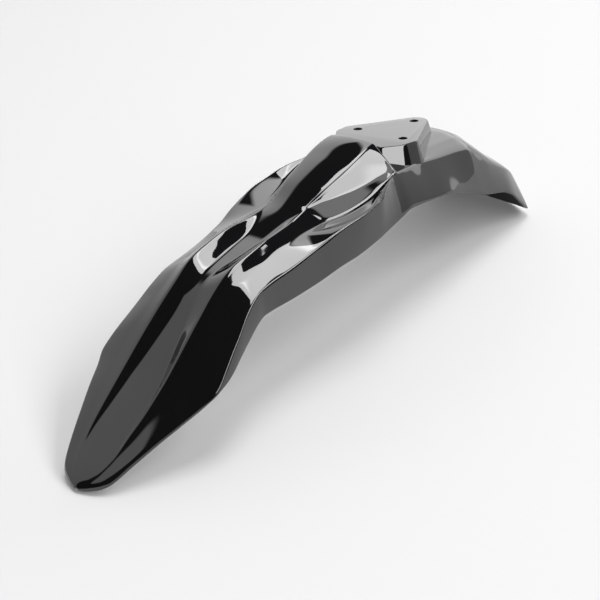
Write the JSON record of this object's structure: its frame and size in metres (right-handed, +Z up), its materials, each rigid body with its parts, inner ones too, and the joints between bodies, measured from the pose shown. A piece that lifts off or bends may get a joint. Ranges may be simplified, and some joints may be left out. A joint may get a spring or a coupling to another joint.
{
  "type": "motorcycle front mudguard",
  "caption": "Long one-piece moulded front mudguard for an off-road motorcycle, with a drooping pointed nose, raised hood, bolt-on pad and curled tail.",
  "frame": {"origin": "midway between the two front bolt holes, on the top of the mounting pad", "axes": "+X forward to the tip of the nose, +Y to the left of the motorcycle, +Z up along the bolt holes"},
  "size_m": [0.762, 0.18, 0.2732],
  "materials": {
    "shell": "high gloss, moulded in black"
  },
  "bodies": {
    "root": {"mudguard": "shell"}
  },
  "joints": []
}
